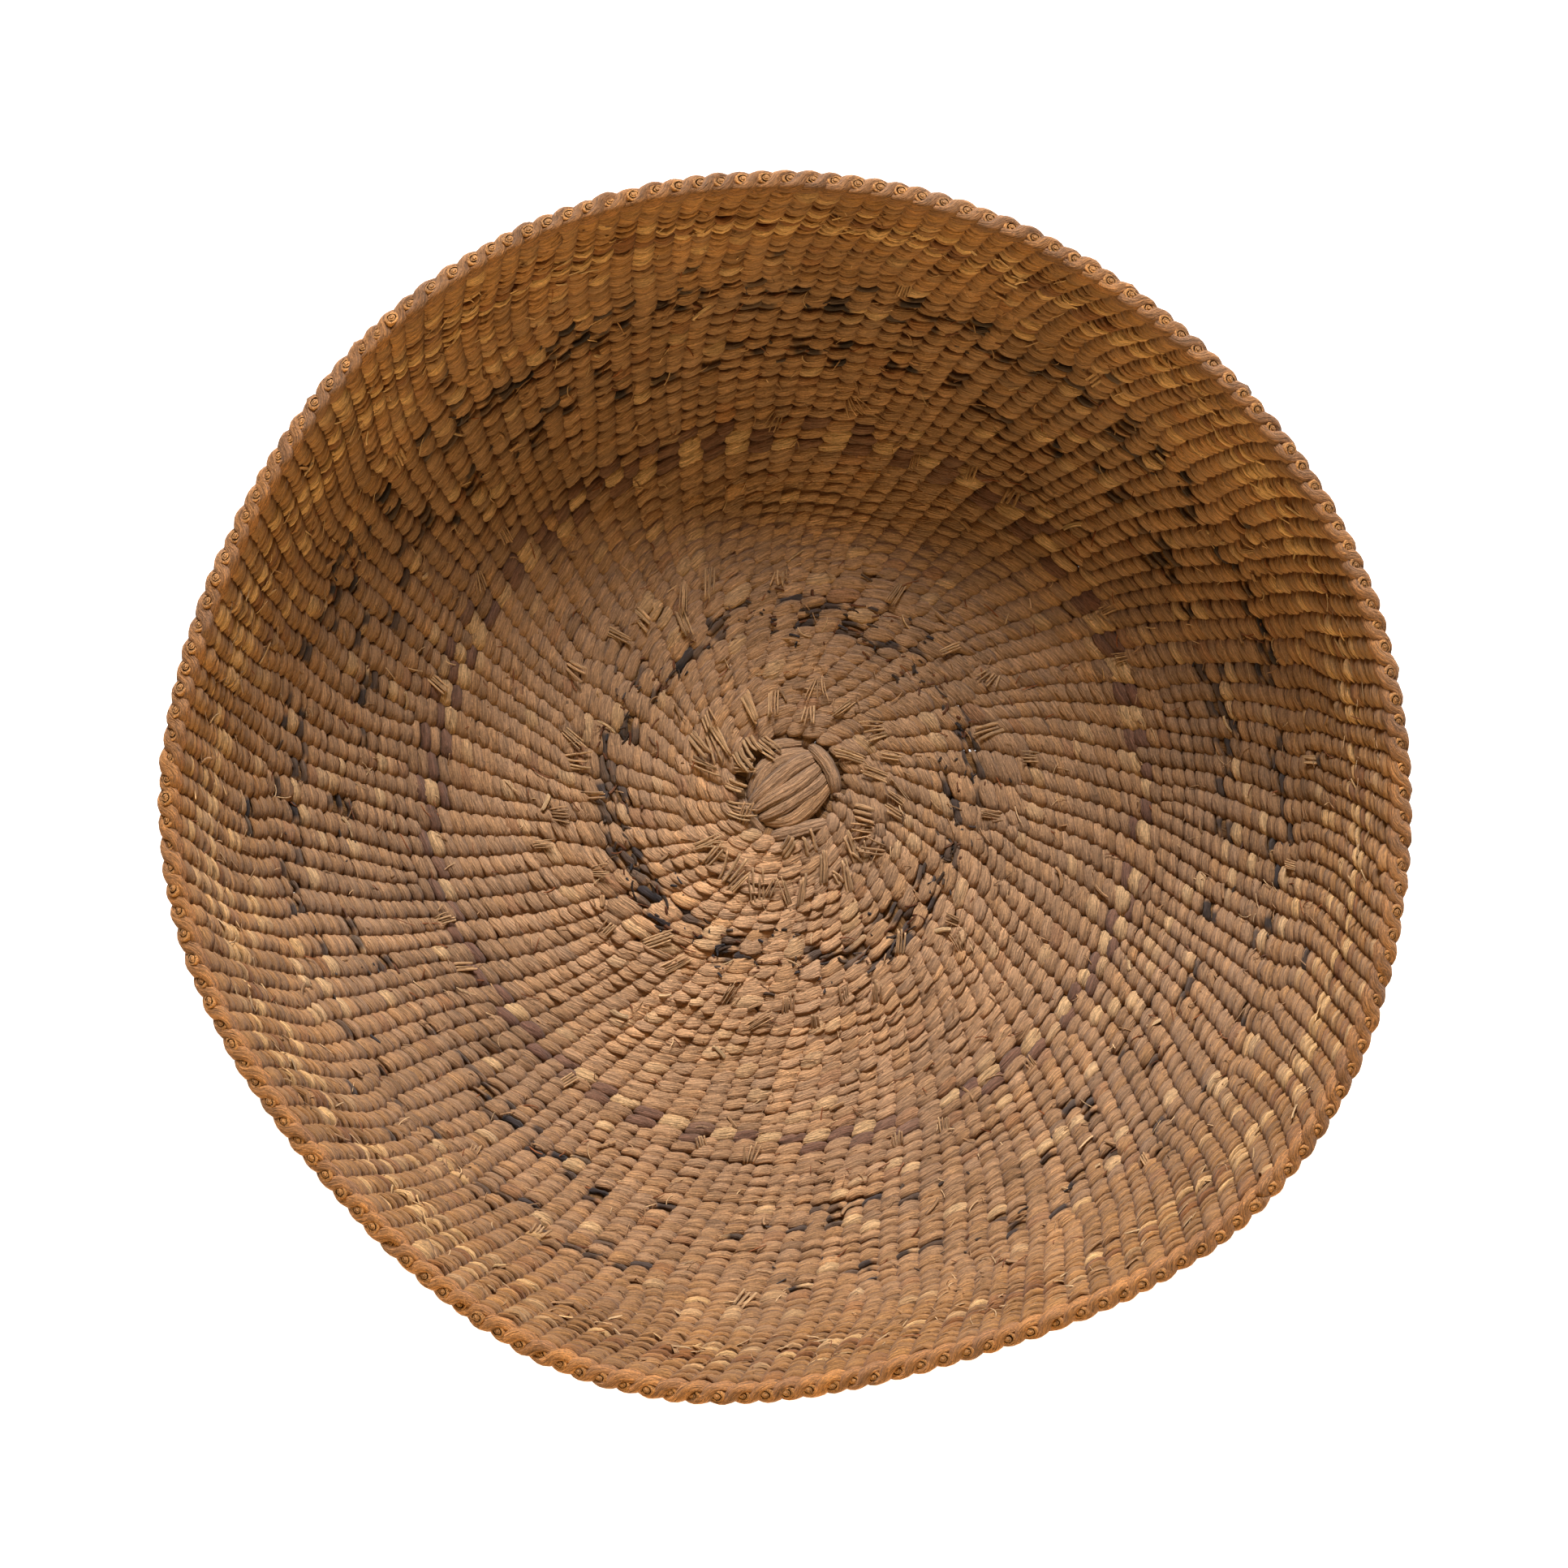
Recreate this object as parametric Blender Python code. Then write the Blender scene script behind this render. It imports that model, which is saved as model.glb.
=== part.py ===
"""Winnowing basket: a shallow, close-twined bowl of dry plant fibre, in metres, +Z up.

The origin is the middle of the flat underside. Twelve crossed warps make the start, five over seven.
Their 24 ends fan out as warps, and more warps are laid in beside each end as the bowl widens, so one
warp group stands for an end and the warps added beside it. The weft is twined round the warps in
courses, one strand inside and one outside, crossing between warps. Each weft piece is a run of courses
in one kind of strand: a skin inside, a skin outside, and a web at each crossing between two groups.
Two thick strands finish the rim and clamp the cut warp ends. The warps swirl clockwise, seen from above.
"""

import math
from functools import lru_cache

import bmesh
import bpy

# Driving dimensions.
RIM_RADIUS = 0.200  # mean radius of the outline, over the rim strands
BASE_RADIUS = 0.084  # the flat base ends here
BEND_RADIUS = 0.107  # the wall curves up on this radius
WALL_SLOPE = math.radians(72.0)  # the curve ends at this slope, and the wall goes on straight to the rim
WARP_THICKNESS = 0.0030
WEFT_THICKNESS = 0.0013  # one strand, flattened against the warps
GAP = 0.0003  # between neighbouring pieces

# The start, where the first warps cross.
START_RADIUS = 0.0185
START_TURN = math.radians(35.0)  # the upper warps lie at this angle to +X
UPPER_WARPS = 5
LOWER_WARPS = 7
UPPER_WIDTH = 0.0210  # across the five upper warps
LOWER_WIDTH = 0.0290  # across the seven lower warps
STRIP_BEVEL = 0.0005
END_STEPS = 2  # chords on the rounded end of a start warp
LASHING_STEPS = 5  # chords on half of a lashing's round side

# Warps and weft.
GROUPS = 2 * (UPPER_WARPS + LOWER_WARPS)  # one warp group for each end of a start warp
WEB = 0.0008  # width of the weft where it crosses between two groups
SWIRL_LEAN = 0.27  # sideways travel of a warp for each metre along the wall
SWIRL_STEPS = 60
LONGEST_STEP = 0.018  # longest facet along the wall

# Rim.
RIM_HEIGHT = 0.0070
RIM_THICKNESS = 0.0024
RIM_SECTION = ((0.0, 0.0), (0.0, 0.6), (0.25, 1.0), (0.75, 1.0), (1.0, 0.6), (1.0, 0.0))  # of height, thickness

# Soft fibre sags out of round towards the rim: lobes round the rim, share of the radius, phase in degrees.
OUT_OF_ROUND = ((2, 0.011, 35.0), (3, 0.010, 55.0), (4, 0.006, 65.0), (5, 0.011, 170.0), (6, 0.007, -85.0))
SAG_POWER = 1.5  # how late on the wall the outline leaves the circle
RIM_DIP = 0.6  # the rim drops by this share of how far it leans out

HALF_WARP = WARP_THICKNESS / 2
HALF_WALL = HALF_WARP + GAP + WEFT_THICKNESS
RIM_REACH = HALF_WARP + GAP + RIM_THICKNESS
BEND_END = BASE_RADIUS + BEND_RADIUS * WALL_SLOPE
STRAIGHT_START = BASE_RADIUS + BEND_RADIUS * math.sin(WALL_SLOPE)
STRAIGHT_REACH = RIM_RADIUS - RIM_REACH * math.sin(WALL_SLOPE) - STRAIGHT_START
WALL_LENGTH = BEND_END + STRAIGHT_REACH / math.cos(WALL_SLOPE)  # centre to rim, along the middle of the wall

# Runs of weft from the start to the rim: piece, courses, material.
WEFT_RUNS = (
    ("weft_start", 9, "natural_weft"),
    ("weft_dark_ring", 3, "dark_weft"),
    ("weft_base", 6, "natural_weft"),
    ("weft_turn", 7, "natural_weft"),
    ("weft_two_tone", 4, "two_tone_weft"),
    ("weft_lower_wall", 5, "natural_weft"),
    ("weft_lower_dark", 3, "dark_weft"),
    ("weft_middle_wall", 3, "natural_weft"),
    ("weft_upper_dark", 3, "dark_weft"),
    ("weft_upper_wall", 9, "natural_weft"),
    ("weft_gold", 7, "gold_weft"),
)
COURSE_PITCH = (WALL_LENGTH - RIM_HEIGHT - START_RADIUS) / sum(courses for _, courses, _ in WEFT_RUNS)

# Material: base colour, roughness.
MATERIALS = {
    "warp_fibre": ((0.36, 0.22, 0.10), 0.9),
    "natural_weft": ((0.38, 0.22, 0.11), 0.9),
    "dark_weft": ((0.10, 0.06, 0.05), 0.9),
    "two_tone_weft": ((0.30, 0.17, 0.11), 0.9),
    "gold_weft": ((0.50, 0.30, 0.12), 0.85),
    "rim_strand": ((0.32, 0.17, 0.07), 0.85),
}


# The shape of the wall.


def profile(along):
    """Radius, height and slope of the middle of the wall, at a length measured out from the centre."""
    slope = min(max(along - BASE_RADIUS, 0.0) / BEND_RADIUS, WALL_SLOPE)
    straight = max(along - BEND_END, 0.0)
    radius = min(along, BASE_RADIUS) + BEND_RADIUS * math.sin(slope) + straight * math.cos(WALL_SLOPE)
    height = HALF_WALL + BEND_RADIUS * (1.0 - math.cos(slope)) + straight * math.sin(WALL_SLOPE)
    return radius, height, slope


@lru_cache(maxsize=None)
def swirl(along):
    """How far the warps have turned clockwise on the way out to this length."""
    step = (along - START_RADIUS) / SWIRL_STEPS
    middles = (START_RADIUS + (index + 0.5) * step for index in range(SWIRL_STEPS))
    return SWIRL_LEAN * sum(step / profile(middle)[0] for middle in middles)


def lean_out(angle, along):
    """How far the wall stands outside the circle here."""
    up_the_wall = max(along - BASE_RADIUS, 0.0) / (WALL_LENGTH - BASE_RADIUS)
    share = sum(size * math.cos(lobes * angle + math.radians(phase)) for lobes, size, phase in OUT_OF_ROUND)
    return RIM_RADIUS * share * up_the_wall**SAG_POWER


def wall_point(turn, along, offset):
    """The point at a warp's angle and a length along the wall, lifted off its middle to the inside."""
    radius, height, slope = profile(along)
    angle = turn - swirl(along)
    lean = lean_out(angle, along)
    radius += lean - offset * math.sin(slope)
    height += offset * math.cos(slope) - RIM_DIP * lean
    return radius * math.cos(angle), radius * math.sin(angle), height


def group_sides(along, inset):
    """The angles of both sides of every warp group, inset from the middle of the crossings."""
    inset_angle = inset / profile(along)[0]
    sides = []
    for group in range(GROUPS):
        sides.append(math.tau * group / GROUPS + inset_angle)
        sides.append(math.tau * (group + 1) / GROUPS - inset_angle)
    return sides


def lengths_between(first, last):
    """Stations along the wall, evenly spaced and no further apart than the longest step."""
    steps = math.ceil((last - first) / LONGEST_STEP)
    return [first + (last - first) * index / steps for index in range(steps + 1)]


# Building pieces.


def make_material(name):
    colour, roughness = MATERIALS[name]
    material = bpy.data.materials.new(name)
    material.use_nodes = True
    shader = material.node_tree.nodes["Principled BSDF"]
    shader.inputs["Base Color"].default_value = (*colour, 1.0)
    shader.inputs["Roughness"].default_value = roughness
    shader.inputs["Metallic"].default_value = 0.0
    return material


def make_piece(name, points, faces, material):
    """One closed body, with its faces pointing out."""
    mesh = bpy.data.meshes.new(name)
    mesh.from_pydata(points, [], faces)
    body = bmesh.new()
    body.from_mesh(mesh)
    bmesh.ops.recalc_face_normals(body, faces=body.faces)
    body.to_mesh(mesh)
    body.free()
    mesh.shade_smooth()
    mesh.set_sharp_from_angle(angle=math.radians(40.0))
    mesh.materials.append(material)
    piece = bpy.data.objects.new(name, mesh)
    bpy.context.scene.collection.objects.link(piece)
    return piece


def split_quad(a, b, c, d):
    """Every quad is cut on the same diagonal, so that neighbouring layers stay parallel."""
    return [(a, b, c), (a, c, d)]


def weft_run(name, first, last, material):
    """A run of weft: inner skin, outer skin, and a web between each two warp groups."""
    layers = (-HALF_WALL, -HALF_WARP - GAP, HALF_WARP + GAP, HALF_WALL)
    stations = lengths_between(first + GAP / 2, last - GAP / 2)
    count = 2 * GROUPS
    points = []
    for along in stations:
        for turn in group_sides(along, WEB / 2):
            points += [wall_point(turn, along, offset) for offset in layers]

    def at(station, side, layer):
        return (station * count + side % count) * len(layers) + layer

    faces = []
    for near in range(len(stations) - 1):
        far = near + 1
        for side in range(count):
            over_group = side % 2 == 0
            for layer in range(4) if over_group else (0, 3):
                corners = ((near, side), (near, side + 1), (far, side + 1), (far, side))
                faces += split_quad(*(at(station, where, layer) for station, where in corners))
            faces += split_quad(at(near, side, 1), at(near, side, 2), at(far, side, 2), at(far, side, 1))
    for station in (0, len(stations) - 1):
        for side in range(count):
            over_group = side % 2 == 0
            for layer in (0, 2) if over_group else (0, 1, 2):
                corners = ((side, layer), (side + 1, layer), (side + 1, layer + 1), (side, layer + 1))
                faces += split_quad(*(at(station, where, depth) for where, depth in corners))
    return make_piece(name, points, faces, material)


def warp_group(name, group, stations, material):
    """A band of adjacent warps, from the start to the rim."""
    points = []
    for along in stations:
        left, right = group_sides(along, WEB / 2 + GAP)[2 * group : 2 * group + 2]
        section = ((left, -HALF_WARP), (right, -HALF_WARP), (right, HALF_WARP), (left, HALF_WARP))
        points += [wall_point(turn, along, offset) for turn, offset in section]
    faces = split_quad(0, 1, 2, 3)
    for near in range(0, len(points) - 4, 4):
        far = near + 4
        faces += split_quad(near, near + 1, far + 1, far)
        faces += split_quad(near + 1, near + 2, far + 2, far + 1)
        faces += split_quad(near + 3, near + 2, far + 2, far + 3)
        faces += split_quad(near, near + 3, far + 3, far)
    last = len(points) - 4
    faces += split_quad(last, last + 1, last + 2, last + 3)
    return make_piece(name, points, faces, material)


def rim_strand(name, side_sign, material):
    """A strand of the rim: a ring, flat against the warps and rounded away from them."""
    points = []
    for corner in range(2 * GROUPS):
        for up, out in RIM_SECTION:
            along = WALL_LENGTH - RIM_HEIGHT + GAP / 2 + up * (RIM_HEIGHT - GAP / 2)
            turn = group_sides(along, WEB / 2)[corner]
            points.append(wall_point(turn, along, side_sign * (HALF_WARP + GAP + out * RIM_THICKNESS)))
    size = len(RIM_SECTION)
    faces = []
    for corner in range(2 * GROUPS):
        here = corner * size
        there = (corner + 1) % (2 * GROUPS) * size
        for index in range(size):
            after = (index + 1) % size
            faces += split_quad(here + after, there + after, there + index, here + index)
    return make_piece(name, points, faces, material)


def start_slice(name, low, high, level, turn, steps, material):
    """A slice of the round start between two parallel lines: one warp, or a lashing beside the warps."""
    radius = START_RADIUS - GAP
    angles = [math.asin(min(max(edge / radius, -1.0), 1.0)) for edge in (low, high)]
    turns = [angles[0] + (angles[1] - angles[0]) * index / steps for index in range(steps + 1)]
    right = [(radius * math.cos(angle), radius * math.sin(angle)) for angle in turns]
    left = [(-across, side) for across, side in reversed(right) if across > GAP]
    outline = right + left
    bottom, top = level
    points = [(x, y, height) for height in (bottom, top) for x, y in outline]
    count = len(outline)
    faces = [tuple(range(count)), tuple(range(count, 2 * count))]
    for index in range(count):
        after = (index + 1) % count
        faces.append((index, after, count + after, count + index))
    piece = make_piece(name, points, faces, material)
    piece.rotation_euler = (0.0, 0.0, turn)
    bevel = piece.modifiers.new("Rounded edges", "BEVEL")
    bevel.width = STRIP_BEVEL
    bevel.segments = 1
    bevel.limit_method = "ANGLE"
    bevel.angle_limit = math.radians(50.0)
    return piece


def start_layer(layer_name, warps, width, level, turn, materials):
    """One layer of the start: parallel warps, with a weft lashing along each side."""
    pitch = width / warps
    for index in range(warps):
        low = -width / 2 + index * pitch + GAP / 2
        high = low + pitch - GAP
        name = f"start_{layer_name}_warp_{index + 1}"
        start_slice(name, low, high, level, turn, END_STEPS, materials["warp_fibre"])
    for index, side_turn in enumerate((0.0, math.pi)):
        name = f"start_{layer_name}_lashing_{index + 1}"
        low = width / 2 + GAP / 2
        start_slice(name, low, START_RADIUS, level, turn + side_turn, LASHING_STEPS, materials["natural_weft"])


# The basket.


def clear_scene():
    for thing in list(bpy.data.objects):
        bpy.data.objects.remove(thing)


def build():
    clear_scene()
    materials = {name: make_material(name) for name in MATERIALS}

    lower_level = (0.0, HALF_WALL - GAP / 2)
    upper_level = (HALF_WALL + GAP / 2, 2 * HALF_WALL)
    start_layer("lower", LOWER_WARPS, LOWER_WIDTH, lower_level, START_TURN + math.pi / 2, materials)
    start_layer("upper", UPPER_WARPS, UPPER_WIDTH, upper_level, START_TURN, materials)

    warp_stations = [START_RADIUS]
    course = 0
    for name, courses, material in WEFT_RUNS:
        first = START_RADIUS + course * COURSE_PITCH
        course += courses
        last = START_RADIUS + course * COURSE_PITCH
        weft_run(name, first, last, materials[material])
        warp_stations += lengths_between(first, last)[1:]
    warp_stations.append(WALL_LENGTH)

    for group in range(GROUPS):
        warp_group(f"warp_group_{group + 1:02d}", group, warp_stations, materials["warp_fibre"])
    rim_strand("rim_strand_inner", 1, materials["rim_strand"])
    rim_strand("rim_strand_outer", -1, materials["rim_strand"])


build()
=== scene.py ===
"""Looks of a close-twined winnowing basket, woven strand by strand in the space of the CAD model.

Lengths are in metres. On the wall, along is the length from the centre out to the rim, turn is a warp's
angle at the start, and lift is the height off the middle of the wall, towards the inside of the bowl.
The weft is twined clockwise, seen from above: two strands, one inside and one outside each warp, change
places between every two warps.
"""

import math

import bpy
import numpy as np
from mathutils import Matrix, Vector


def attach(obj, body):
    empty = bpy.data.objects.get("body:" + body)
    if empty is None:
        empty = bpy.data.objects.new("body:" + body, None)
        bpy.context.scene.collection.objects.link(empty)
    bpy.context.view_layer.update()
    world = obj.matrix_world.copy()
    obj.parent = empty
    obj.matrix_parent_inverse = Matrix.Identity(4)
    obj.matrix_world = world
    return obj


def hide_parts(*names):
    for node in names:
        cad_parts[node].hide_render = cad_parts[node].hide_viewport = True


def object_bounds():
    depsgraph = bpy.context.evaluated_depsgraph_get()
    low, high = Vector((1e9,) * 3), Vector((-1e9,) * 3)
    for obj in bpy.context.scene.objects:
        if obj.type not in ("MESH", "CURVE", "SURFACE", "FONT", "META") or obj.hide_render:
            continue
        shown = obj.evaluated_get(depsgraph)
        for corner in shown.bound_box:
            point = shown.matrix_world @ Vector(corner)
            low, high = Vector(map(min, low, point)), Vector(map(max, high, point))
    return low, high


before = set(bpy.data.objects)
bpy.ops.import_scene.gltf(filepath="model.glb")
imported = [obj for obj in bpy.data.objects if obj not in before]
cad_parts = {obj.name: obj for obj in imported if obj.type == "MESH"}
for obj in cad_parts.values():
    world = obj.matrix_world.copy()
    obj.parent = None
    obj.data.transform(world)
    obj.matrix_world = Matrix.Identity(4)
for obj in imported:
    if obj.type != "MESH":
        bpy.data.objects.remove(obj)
cad_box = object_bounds()

SEED = 11
TAU = math.tau

# The wall, as the CAD model has it.
RIM_RADIUS = 0.200
BASE_RADIUS = 0.084
BEND_RADIUS = 0.107
WALL_SLOPE = math.radians(72.0)
WARP_THICKNESS = 0.0030
WEFT_THICKNESS = 0.0013
GAP = 0.0003
START_RADIUS = 0.0185
START_TURN = math.radians(35.0)
UPPER_WARPS = 5
LOWER_WARPS = 7
SWIRL_LEAN = 0.27
RIM_HEIGHT = 0.0070
RIM_THICKNESS = 0.0024
OUT_OF_ROUND = ((2, 0.011, 35.0), (3, 0.010, 55.0), (4, 0.006, 65.0), (5, 0.011, 170.0), (6, 0.007, -85.0))
SAG_POWER = 1.5
RIM_DIP = 0.6
GROUPS = 24
HALF_WALL = WARP_THICKNESS / 2 + GAP + WEFT_THICKNESS
RIM_REACH = WARP_THICKNESS / 2 + GAP + RIM_THICKNESS
BEND_END = BASE_RADIUS + BEND_RADIUS * WALL_SLOPE
STRAIGHT_START = BASE_RADIUS + BEND_RADIUS * math.sin(WALL_SLOPE)
STRAIGHT_REACH = RIM_RADIUS - RIM_REACH * math.sin(WALL_SLOPE) - STRAIGHT_START
WALL_LENGTH = BEND_END + STRAIGHT_REACH / math.cos(WALL_SLOPE)

# Runs of weft from the start to the rim: CAD node, courses, material slot.
WEFT_RUNS = (
    ("weft_start", 9, "natural_weft"),
    ("weft_dark_ring", 3, "dark_weft"),
    ("weft_base", 6, "natural_weft"),
    ("weft_turn", 7, "natural_weft"),
    ("weft_two_tone", 4, "two_tone_weft"),
    ("weft_lower_wall", 5, "natural_weft"),
    ("weft_lower_dark", 3, "dark_weft"),
    ("weft_middle_wall", 3, "natural_weft"),
    ("weft_upper_dark", 3, "dark_weft"),
    ("weft_upper_wall", 9, "natural_weft"),
    ("weft_gold", 7, "gold_weft"),
)
COURSES = sum(courses for _, courses, _ in WEFT_RUNS)
COURSE_PITCH = (WALL_LENGTH - RIM_HEIGHT - START_RADIUS) / COURSES

# How the visible warps stray from the CAD's even swirl, a little more towards the rim.
RIM_LEAN = 0.25
LEAN_FADE = (0.185, 0.235)  # lengths along the wall between which the lean changes
# Waves of sideways drift: size, waves round the basket, waves out along the wall, and phase.
DRIFT_WAVES = ((0.0009, 5, 61.0, 0.0), (0.0007, 11, -88.0, 1.7))
RIM_DRIFT = 0.0035
RIM_DRIFT_START = 0.17
RIM_DRIFT_FADE = 0.08

# Sides of the basket, as angles seen from above.
MOST_LEAN_SIDE = math.radians(200.0)  # the warps lean most here
FADED_SIDE = math.radians(280.0)  # the golden rows are faint here
RIM_DARK_SIDE = math.radians(75.0)  # the rim is darkest here

# Rows that are dyed or stained, in courses from the start. Dark rows are broken: the last value is the share
# of their stitches that is stained.
DARK_ROWS = ((8.8, 12.2, 0.55), (33.0, 36.6, 0.30), (39.4, 42.8, 0.40), (45.6, 47.0, 0.12))
PURPLE_ROWS = (25.4, 27.8)
STRAW_ROWS = (25.4, 27.0)
FLECKED_ROWS = (28.0, 45.0)
GOLD_ROWS = (50.0, 56.5)
GOLDEST_ROWS = (51.4, 54.2)
GOLD_SPECK_START = 43.0
BASE_COURSES = (16.0, 30.0)  # the looks of the base change to those of the wall between these
WALL_COURSES = (16.0, 32.0)  # and the shape of its stitches between these
GOLDEN_COURSES = (30.0, 56.0)  # the fibre turns golden between these

# Each pair of these is a value on the base and its value on the wall.
STITCH_WIDTH = (0.71, 0.58)  # half width over a warp, in courses
STITCH_THICKNESS = (0.00075, 0.00125)  # half thickness over a warp
STITCH_ROUNDNESS = (0.32, 0.45)
STITCH_SLANT = (0.27, 0.14)  # in courses
GROOVE_DIRT_AND_SHADE = (0.14, 0.34)  # dirt and painted shade in the grooves between stitches
EDGE_DIRT_AND_SHADE = (0.16, 0.42)  # dirt and painted shade at the edges between courses
STITCH_LIFT = WARP_THICKNESS / 2 + 0.0008  # of the middle of a strand over a warp
CROSSING_WIDTH = 0.42  # half width where two strands cross, in courses
CROSSING_THICKNESS = 0.0013
FAR_SIDE_ROUNDNESS = 0.14
# Painted shade: the grooves are painted darker on the side of the wall that the key light misses.
FAR_SIDE_SHADE = 0.14
LAST_COURSE_FULLNESS = 1.55  # it is pushed up under the rim
LAST_COURSE_RISE = 0.0006
PRESSED_HEIGHT = 0.0012  # stitches lower than this are pressed flat

# The base is painted paler round this place, a painted pool of light.
PAINTED_LIGHT_PLACE = (-0.020, -0.070)
PAINTED_LIGHT_SIZE = 0.070

# Rings where new warps are laid in: length along the wall, how many, how much the ring wanders.
NEW_WARPS = ((0.035, 24, 0.0025), (0.074, 44, 0.0035), (0.126, 46, 0.0045), (0.184, 29, 0.0070))
SEEN_ENDS = ((0.50, 0.012), (0.62, 0.011), (0.50, 0.008), (0.30, 0.006))  # share with an end, and its length
NEW_WARP_LEAD = 0.004  # its neighbours make room this far before a new warp
NEW_WARP_GROWTH = 0.014  # and it has its full share of the room this far on
NEIGHBOURS = 4  # warps each way that make room for one another

# Cut ends of the start warps: bearing in degrees, distance of the outer end, length and width in
# millimetres, and heading in degrees, where 0 is outwards and 180 to the middle.
START_ENDS = (
    (114, 38, 12, 4.6, 190), (98, 35, 9, 3.2, 184), (139, 36, 12, 5.4, 168), (163, 36, 11, 3.8, 186),
    (121, 20, 8, 5.0, 200), (193, 23, 10, 5.0, 150), (219, 21, 8, 4.0, 215), (341, 22, 8, 5.5, 20),
    (18, 29, 9, 3.6, 150), (15, 42, 8, 3.0, 165), (327, 40, 9, 3.0, 205), (352, 42, 8, 3.4, 160),
    (313, 36, 11, 3.6, 170), (300, 43, 11, 3.2, 172), (256, 42, 13, 3.8, 205), (235, 41, 13, 3.8, 190),
    (210, 37, 9, 2.4, 160), (274, 42, 11, 3.0, 180), (75, 30, 7, 3.0, 200), (52, 38, 8, 3.2, 175),
    (262, 24, 7, 5.0, 160), (290, 25, 8, 4.5, 190), (157, 21, 8, 4.6, 205), (141, 23, 8, 5.0, 165),
    (172, 22, 7, 4.2, 170), (128, 24, 8, 4.4, 185),
)

# A rim strand, where two cross and over a warp.
RIM_HALF_WIDTH = (0.0023, 0.0031)
RIM_HALF_THICKNESS = (0.0027, 0.0015)
RIM_LIFT = 0.0021
RIM_SLANT = 0.0011

LITTER_REACH = (0.030, 0.240)  # loose fibres lie between these lengths along the wall

# Fineness of the swept strands.
RING_STOPS = np.array([-0.5, -0.41, -0.24, 0.0, 0.24, 0.41])  # in stitches, from the middle of one
RIM_STOPS = np.array([-0.5, -0.40, -0.25, -0.1, 0.1, 0.25, 0.40])
STRAND_SIDES = 8
LEAF_SIDES = 32
PLEAT_DEPTH = 0.10

# The cut end of a warp at the rim, a rolled leaf: rise and size of its last rings, and the turns of the
# spiral of painted shade between its coils.
END_RISE = 0.00001 * np.array([12, 26, 20, 34, 40, 34, 46, 50, 44, 54, 58])
END_SIZE = np.array([0.95, 0.86, 0.77, 0.68, 0.59, 0.50, 0.41, 0.32, 0.23, 0.14, 0.05])
END_SHADE_COILS = 2.6
END_HALF_WIDTH = 0.0025
END_HALF_THICKNESS = 0.0020
WARP_RINGS = 56
WARP_SIDES = 12
RIM_SIDES = 14
FIBRE_SIDES = 5

rng = np.random.default_rng(SEED)


# Shape of the wall.


def profile(along):
    """Radius and height of the middle of the wall, and its slope."""
    slope = np.clip((along - BASE_RADIUS) / BEND_RADIUS, 0.0, WALL_SLOPE)
    straight = np.maximum(along - BEND_END, 0.0)
    radius = np.minimum(along, BASE_RADIUS) + BEND_RADIUS * np.sin(slope) + straight * math.cos(WALL_SLOPE)
    height = HALF_WALL + BEND_RADIUS * (1.0 - np.cos(slope)) + straight * math.sin(WALL_SLOPE)
    return radius, height, slope


def smooth(value):
    """Eases from 0 to 1."""
    value = np.clip(value, 0.0, 1.0)
    return value * value * (3.0 - 2.0 * value)


def swirl_table():
    """Lengths along the wall, and how far the warps have turned by each."""
    lengths = np.linspace(START_RADIUS, WALL_LENGTH * 1.05, 4000)
    straighter = smooth((lengths - LEAN_FADE[0]) / (LEAN_FADE[1] - LEAN_FADE[0]))
    lean = (SWIRL_LEAN + (RIM_LEAN - SWIRL_LEAN) * straighter) / profile(lengths)[0]
    steps = np.diff(lengths) * (lean[1:] + lean[:-1]) / 2
    return lengths, np.concatenate([[0.0], np.cumsum(steps)])


SWIRL_LENGTHS, SWIRL_TURNS = swirl_table()


def swirl(along):
    """How far the warps have turned clockwise on the way out to this length."""
    return np.interp(along, SWIRL_LENGTHS, SWIRL_TURNS)


def sway(turn, along):
    """Sideways drift of the warps, the same for neighbours."""
    drift = 0.0
    for size, round_it, out, phase in DRIFT_WAVES:
        drift = drift + size * np.sin(round_it * turn + out * along + phase)
    drift = drift * smooth((along - START_RADIUS) / 0.03)
    by_the_rim = smooth((along - RIM_DRIFT_START) / RIM_DRIFT_FADE)
    return drift - RIM_DRIFT * np.cos(turn - swirl(along) - MOST_LEAN_SIDE) * by_the_rim


def wall_point(turn, along, lift):
    """A place on the wall, out of round and dipped at the rim."""
    radius, height, slope = profile(along)
    angle = turn - swirl(along) + sway(turn, along) / radius
    up_the_wall = np.maximum(along - BASE_RADIUS, 0.0) / (WALL_LENGTH - BASE_RADIUS)
    share = sum(size * np.cos(lobes * angle + math.radians(phase)) for lobes, size, phase in OUT_OF_ROUND)
    lean = RIM_RADIUS * share * up_the_wall**SAG_POWER
    radius = radius + lean - lift * np.sin(slope)
    height = height + lift * np.cos(slope) - RIM_DIP * lean
    return np.stack([radius * np.cos(angle), radius * np.sin(angle), height], axis=-1)


def outward(turn, along, lift):
    """Unit direction out along a warp."""
    step = 0.0005
    way = wall_point(turn, along + step, lift) - wall_point(turn, along - step, lift)
    return way / np.linalg.norm(way, axis=-1, keepdims=True)


def inward(turn, along):
    """Unit direction off the wall, to the inside."""
    way = wall_point(turn, along, np.full_like(along, 0.001)) - wall_point(turn, along, np.zeros_like(along))
    return way / np.linalg.norm(way, axis=-1, keepdims=True)


# Order of the warps and the courses.


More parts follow.
